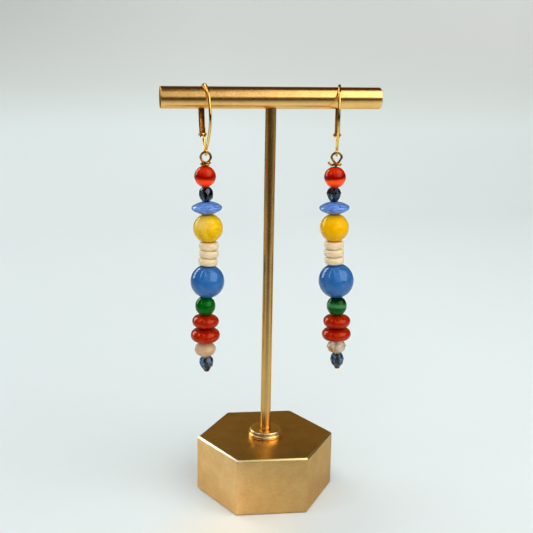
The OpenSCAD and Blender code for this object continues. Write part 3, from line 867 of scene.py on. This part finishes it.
def stand_bar():
    """A rod with softly rounded ends, whose end faces show the rings of the lathe."""
    r, soft, steps = BAR_D / 2, 0.2, 31
    rings = [(k * 0.44, 0.012 * (k % 2)) for k in range(1, 6)]
    end = rings + [(r - soft, 0), (r - 0.12, 0.02), (r - 0.05, 0.06), (r - 0.01, 0.13), (r, soft)]
    side = [(r, soft + (BAR_L - 2 * soft) * k / steps) for k in range(1, steps)]
    profile = [(0, 0)] + end + side + [(q, BAR_L - h) for q, h in reversed(end)] + [(0, BAR_L)]
    place = Matrix.Translation(Vector((BAR_SHIFT - BAR_L / 2, 0, BAR_Z))) @ ACROSS
    piece = revolve("stand_bar_rod", profile, place, 96)
    piece.data.transform(piece.matrix_world)
    piece.matrix_world = Matrix.Identity(4)
    sharpen(piece, METAL_CREASE)
    dress(piece, "bar", "stand", "stand_bar")


# Earrings

def across_wire(e, place):
    """Frame at a place of the ear wire's view, with its z across the wire."""
    return on_bar(e) @ Matrix.Translation(Vector((0, -place[0], drawn_out(e, place[1])))) @ ACROSS


def wire_ring(e):
    """The closed ring that holds the drop."""
    sides = 16
    last = 2 * math.pi * (sides - 1) / sides
    return turned("ring", arc((RING_R, 0), RING_WIRE_R, 0, last, sides - 1), across_wire(e, RING), 64)


def wire_lug(e):
    """The drilled lug that the lever hinges on."""
    end = [(0.32, 0.37), (0.35, 0.4), (0.57, 0.4), (0.63, 0.37), (0.65, 0.31)]
    return turned("lug", [(r, -z) for r, z in end] + end[::-1], across_wire(e, HINGE), 40)


def wire_solder(e):
    """The bead of solder where the wire meets the ring, thickest in its middle."""
    up = drawn_out(e, RING[1])
    path = [(0, -0.02, up + 1), (0, 0, up + 0.78), (0, 0.02, up + 0.55)]
    return tube("solder", path, 0.36, 16, on_bar(e), lambda t: 0.72 + 0.28 * math.sin(math.pi * t))


def ear_wire(e):
    side = EARRINGS[e]["side"]
    line = smooth_line([(0, -forward, drawn_out(e, up)) for forward, up in WIRE_LINE], CURVE_STEPS)
    wire = tube("wire", line, WIRE_R, 20, on_bar(e))
    parts = [wire, in_frame_of(wire, wire_ring(e)), in_frame_of(wire, wire_lug(e)), wire_solder(e)]
    dress(join(side + "_ear_wire_gold", parts), "wire", "stand", side + "_ear_wire")


def lever(e):
    side = EARRINGS[e]["side"]
    piece = from_node(side + "_lever_channel", side + "_lever", 0.045, 2, 30)
    dress(piece, "lever", side + "_lever", side + "_lever")


def hinge_pin(e):
    """A rivet with a domed head at each end."""
    side = EARRINGS[e]["side"]
    tip, seat = 1.2, 0.775
    head = [(0, tip), (0.14, tip - 0.01), (0.28, tip - 0.05), (0.38, tip - 0.12), (0.43, tip - 0.22),
            (0.44, tip - 0.33), (0.43, seat + 0.02), (0.3, seat)]
    profile = [(r, -z) for r, z in head] + head[::-1]
    piece = revolve(side + "_hinge_rivet", profile, across_wire(e, HINGE), 28)
    dress(piece, "wire", "stand", side + "_hinge_pin")


def drop_pin(e):
    """The eye and its wrap, the straight run through the beads and the flat foot."""
    side = EARRINGS[e]["side"]
    at = in_ring(e)
    top, foot = bead_top(e, 0), bead_top(e, len(BEADS))
    runs = 60
    depths = [top + (foot - top) * k / runs for k in range(runs + 1)]
    line = smooth_line(EYES[e], CURVE_STEPS) + [Vector((bow(e, s), 0, -s)) for s in depths]
    wire = tube("pin", line, PIN_R, 18, at)
    under = at @ Matrix.Translation(Vector((bow(e, foot), 0, -foot - FOOT_H)))
    half = [(0.6, 0), (0.74, 0.03), (0.8, 0.1)]
    profile = [(0, 0)] + half + [(r, FOOT_H - h) for r, h in reversed(half)] + [(0, FOOT_H)]
    disc = in_frame_of(wire, revolve("foot", profile, under, 36))
    piece = join(side + "_head_pin", [wire, disc])
    dress(piece, "pin", side + "_drop", side + "_drop_pin")


def bead_seed(e, i):
    """A number of the bead's own, so that no two beads are uneven in the same way."""
    return i + 20 * e + 1


def bead(e, i):
    """A bead in the shape of its kind, a hair smaller than its solid so that its unevenness stays inside."""
    name, _, _, share = BEADS[i]
    full = EARRINGS[e]["side"] + "_" + name
    width, length = bead_size(e, i)
    cuts = {
        "crystal_top": (PEAR_CUT if e else BARREL_CUT, 8, 0.035), "crystal_bottom": (DROP_CUT, 8, 0.035),
        "peach_bead": (PEACH_CUT, 12, 0.04 if e else 0.16),
    }
    if name in cuts:
        piece = cut_bead(full + "_cut", *cuts[name], width, length, bead_frame(e, i))
        if name == "peach_bead" and e == 0:
            sharpen(piece, angle=24)
        return piece
    uneven = 0.04 if share or name.startswith("disc") else 0.03
    width, length = width - uneven, length - 0.02
    if name.startswith("disc"):
        kind, profile = "_washer", disc_profile(width, length, DISC_CORNER)
    elif share:
        kind, profile = "_pebble", pebble_profile(width, length, share)
    else:
        kind, profile = "_ball", ball_profile(width, length)
    return turned(full + kind, profile, bead_frame(e, i), 96, uneven, bead_seed(e, i), uneven / 10)


def beads(e):
    side = EARRINGS[e]["side"]
    looks = {
        "red_bead": ("red_" + side, "red_glass"), "crystal_top": ("slate", "slate_crystal"),
        "saucer": ("periwinkle", "periwinkle_glaze"), "yellow_bead": ("yellow_" + side, "yellow_stone"),
        "blue_bead": ("blue", "blue_glaze"), "green_bead": ("green_" + side, "green_glass"),
        "rondelle_1": ("coral", "coral_glaze"), "rondelle_2": ("coral", "coral_glaze"),
        "peach_bead": ("peach", "peach_stone") if e == 0 else ("champagne", "champagne_crystal"),
        "crystal_bottom": ("slate_blue", "slate_crystal"),
    }
    for i, (name, *_) in enumerate(BEADS):
        full = side + "_" + name
        if name.startswith("disc"):
            LOOKS[full] = ivory(full + "_ivory", bead_seed(e, i))
            looks[name] = (full, "ivory")
        look, slot = looks[name]
        dress(bead(e, i), look, side + "_drop", full)


stand_base()
stand_collar()
stand_post()
stand_bar()
for e in (0, 1):
    ear_wire(e)
    lever(e)
    hinge_pin(e)
    drop_pin(e)
    beads(e)


# Floor, light and camera, in metres

DISTANCE = (208, 214, 216)
FLOOR_SIDE = 3
# Places from front to back: where the strip ahead of the stand begins, where the floor starts to rise
AHEAD_Y = -0.28
RISE_Y = 0.45
RISE_DEPTH = 0.55
RISE_H = 0.3
# Middle of the object, which the lights face
HEART = Vector((0, 0, 0.07))

# The camera that fits the photo, with its turns in radians
LENS = 62.057
CAMERA_AT = (-0.050754, -0.252895, 0.133188)
YAW, PITCH, ROLL = -0.19622, 0.24244, -0.01714


def floor_paper():
    """Pale paper that fades into the distance beside and before the stand."""
    m = Material("floor_paper", Roughness=0.8)
    own = m.coords((MM, MM, MM))
    x, y, z = m.axes(own)
    seen = m.node("LightPath").outputs["Is Camera Ray"]

    # Its tone, with painted shade darker toward the back, then painted shade darker to the left, then a
    # painted dusk over the part that rises
    back = m.linear(y, 1 / 1.2, 0.25)
    tone = m.tones(
        back, (0, (236, 240, 239)), (0.35, (232, 241, 240)), (0.7, (228, 236, 235)),
        (0.85, (224, 233, 231)), (0.95, (214, 219, 214)), (1, (214, 217, 213)))
    left = m.ramp(m.linear(x, 2, 0.8), (0.1, 0.72), (0.6, 0.88), (0.85, 0.96), (1, 1))
    painted_dusk = m.times(m.ramp(m.linear(x, -1.2, 0.6), (0, 0.3), (1, 1)), m.ramp(z, (0.05, 0), (0.2, 1)))
    tone = m.mix(m.times(painted_dusk, 0.36), tone, srgb(120, 122, 118))

    # Painted shade that only reflections and other rays see: all but the camera sees it dimmer, the farther
    # it lies before or beside the stand
    toward = m.plus(m.times(x, -0.31), m.times(y, -3.99))
    across = m.math("ABSOLUTE", m.plus(m.times(x, 4.59), m.times(y, -0.35)))
    outside = m.math("MAXIMUM", m.math("SUBTRACT", across, 0.26), 0)
    front = m.ramp(
        m.math("SUBTRACT", toward, outside), (0.12, 1), (0.24, 0.95), (0.4, 0.72), (0.56, 0.5), (0.88, 0.1))
    beside = m.ramp(m.times(m.math("ABSOLUTE", x), 2.5), (0.2, 1), (0.7, 0.58))
    front = m.math("MAXIMUM", m.times(front, beside), seen)
    tone = m.mix(1, m.mix(1, tone, front, "MULTIPLY"), left, "MULTIPLY")

    # Far to the left, to the right and in front it turns into the distance, for the camera alone
    aside = m.math("MAXIMUM", m.linear(x, -1.7, -0.4, clamp=True), m.linear(x, 2.5, -1.75, clamp=True))
    far = m.times(m.math("MAXIMUM", aside, m.linear(y, -1.7, -0.5, clamp=True)), seen)

    # The warm light that the base throws on it
    warm = m.ramp(m.spot(own, (-0.014, -0.032, 0), 0.028), (0, 0), (0.7, 0.42))
    m.set("Base Color", m.mix(far, m.mix(warm, tone, srgb(246, 226, 190)), (0, 0, 0, 1)))
    m.set("Emission Color", m.mix(far, tone, srgb(*DISTANCE)))
    # A faint painted glow toward the back
    painted_back_glow = m.ramp(back, (0.3, 0), (0.62, 0.05), (0.85, 0.1))
    m.set("Emission Strength", m.math("MAXIMUM", painted_back_glow, far))
    return m


def sheet(name, material, line, west, east):
    """A strip of floor along a line of (y, z), between an x at each of its ends to the west and the east."""
    verts = []
    last = len(line) - 1
    for i, (y, z) in enumerate(line):
        verts += [(side[0] + (side[1] - side[0]) * (i / last), y, z) for side in (west, east)]
    mesh = bpy.data.meshes.new(name)
    mesh.from_pydata(verts, [], [(2 * i, 2 * i + 1, 2 * i + 3, 2 * i + 2) for i in range(last)])
    for p in mesh.polygons:
        p.use_smooth = True
    mesh.materials.append(material.made)
    made = add(name, mesh)
    made.visible_glossy = "ahead" in name or "behind" in name
    made.visible_transmission = name in ("floor_behind", "floor_back")


def floor():
    """A pale sheet that rises gently behind the stand; only its inner parts show in metal or glass."""
    paper = floor_paper()
    rise = [(RISE_Y, 0)]
    for k in range(1, 13):
        a = math.pi / 2 * k / 12
        rise.append((RISE_Y + RISE_DEPTH * math.sin(a), RISE_H * (1 - math.cos(a))))
    west, east = (-FLOOR_SIDE, -FLOOR_SIDE), (FLOOR_SIDE, FLOOR_SIDE)
    sheet("floor_front", paper, [(-FLOOR_SIDE, 0), (AHEAD_Y, 0)], west, east)
    bands = [
        ("floor_ahead", [(AHEAD_Y, 0), (0, 0)], (-0.4, -0.4), (0.4, 0.4)),
        ("floor_behind", [(0, 0), (RISE_Y, 0)], (-0.04, -0.15), (0.045, 0.33)),
        ("floor_back", rise, (-0.15, -0.28), (0.33, 0.62)),
    ]
    for name, line, inner_west, inner_east in bands:
        sheet(name + "_left", paper, line, west, inner_west)
        sheet(name, paper, line, inner_west, inner_east)
        sheet(name + "_right", paper, line, inner_east, east)


def world():
    """An unlit room: what plain surfaces, metal, glass and the camera each see of it."""
    made = bpy.data.worlds.new("studio")
    bpy.context.scene.world = made
    made.use_nodes = True
    tree = made.node_tree
    tree.nodes.clear()
    out = tree.nodes.new("ShaderNodeOutputWorld")
    path = tree.nodes.new("ShaderNodeLightPath")

    def background(color, strength):
        made = tree.nodes.new("ShaderNodeBackground")
        made.inputs[0].default_value = color
        made.inputs[1].default_value = strength
        return made.outputs[0]

    def switch(ray, off, on):
        mix = tree.nodes.new("ShaderNodeMixShader")
        tree.links.new(path.outputs[ray], mix.inputs[0])
        tree.links.new(off, mix.inputs[1])
        tree.links.new(on, mix.inputs[2])
        return mix.outputs[0]

    plain = background((0.95, 0.98, 1, 1), 0.1)
    metal = background((1, 0.6, 0.15, 1), 0.05)
    glass = background((0.9, 0.95, 1, 1), 0.02)
    room = switch("Is Transmission Ray", switch("Is Glossy Ray", plain, metal), glass)
    seen = switch("Is Camera Ray", room, background(srgb(*DISTANCE), 1))
    tree.links.new(seen, out.inputs[0])


def camera():
    right = Vector((math.cos(YAW), math.sin(YAW), 0))
    level = Vector((-math.sin(YAW), math.cos(YAW), 0))
    ahead = level * math.cos(PITCH) - Vector((0, 0, math.sin(PITCH)))
    down = -(Vector((0, 0, math.cos(PITCH))) + level * math.sin(PITCH))
    x = right * math.cos(ROLL) + down * math.sin(ROLL)
    y = right * math.sin(ROLL) - down * math.cos(ROLL)
    data = bpy.data.cameras.new("camera")
    data.sensor_width = 36
    data.lens = LENS
    data.clip_start, data.clip_end = 0.01, 20
    made = add("camera", data)
    place = Matrix((x, y, -ahead)).transposed().to_4x4()
    place.translation = Vector(CAMERA_AT)
    made.matrix_world = place
    bpy.context.scene.camera = made


def softbox(name, at, size, glow, color):
    """A lit rectangle that faces the object; glow is its radiance."""
    light = bpy.data.lights.new(name, "AREA")
    light.shape = "RECTANGLE"
    light.size, light.size_y = size
    light.energy = glow * math.pi * size[0] * size[1]
    light.color = color
    box = add(name, light)
    box.location = at
    box.rotation_mode = "QUATERNION"
    box.rotation_quaternion = (HEART - at).to_track_quat("-Z", "Y")
    box.visible_camera = False
    return box


def light_at(name, way, reach, size, glow, color=(1, 1, 1)):
    """A softbox in a direction from the object."""
    return softbox(name, HEART + Vector(way).normalized() * reach, size, glow, color)


def edge_light(name, edge, up, reach, size, glow, color=(1, 1, 1)):
    """A window whose left edge runs upward through a direction from the object."""
    out = Vector(edge).normalized()
    up = Vector(up)
    up = (up - up.dot(out) * out).normalized()
    right = up.cross(out)
    box = softbox(name, HEART + out * reach + right * size[0] / 2, size, glow, color)
    box.rotation_quaternion = Matrix((right, up, out)).transposed().to_quaternion()


def pane_light(name, start, end, reach, width, glow, color):
    """A pane whose long side runs between two directions from the object."""
    a, b = (HEART + Vector(way).normalized() * reach for way in (start, end))
    middle = (a + b) / 2
    back = (middle - HEART).normalized()
    along = (b - a).normalized()
    along = (along - along.dot(back) * back).normalized()
    box = softbox(name, middle, ((b - a).length, width), glow, color)
    box.rotation_quaternion = Matrix((along, back.cross(along), back)).transposed().to_quaternion()


def lights():
    """Windows to the right and left, a narrow skylight, and soft fills that metal and glass don't show."""
    light_at("window_right", (0.328, -0.752, 0.629), 1.7, (3.1, 1.9), 0.55)
    edge_light("window_right_bright", (0.23, -0.61, 0.76), (0, 0.717, 0.697), 1.68, (1.9, 2.4), 1.75)
    # Directions of the edges of the left window's panes, which have a narrow gap between them
    edges = [
        (-0.9, 0.46, 0.1), (-0.8, 0.55, 0.27), (-0.66, 0.62, 0.43), (-0.5, 0.68, 0.54), (-0.34, 0.72, 0.61),
    ]
    for k, (start, end) in enumerate(zip(edges, edges[1:])):
        start, end = Vector(start), Vector(end)
        gap = (end - start) * 0.08
        pane_light("window_left_%d" % k, start + gap, end - gap, 0.95, 0.36, 4.8, (0.92, 0.97, 1))
    sky = (0.95, 0.98, 1)
    pane_light("skylight_left", (-0.248, 0.237, 0.94), (-0.813, -0.388, 0.431), 0.95, 0.07, 5.2, sky)
    pane_light("skylight_right", (-0.2, 0.12, 0.97), (-0.25, -0.62, 0.74), 0.95, 0.05, 3.6, sky)
    overhead = light_at("overhead", (0, -0.1, 1), 1.7, (1.7, 1.5), 0.62)
    front_fill = light_at("front_fill", (-0.3, -0.9, 0.35), 1.7, (1.6, 1.2), 1.9)
    for fill in (overhead, front_fill):
        fill.visible_glossy = False
        fill.visible_transmission = False
    light_at("back_card", (0, 0.94, 0.34), 1.6, (3, 1), 0.15, (1, 0.82, 0.35))


floor()
world()
camera()
lights()
bpy.context.scene.view_settings.view_transform = "Standard"
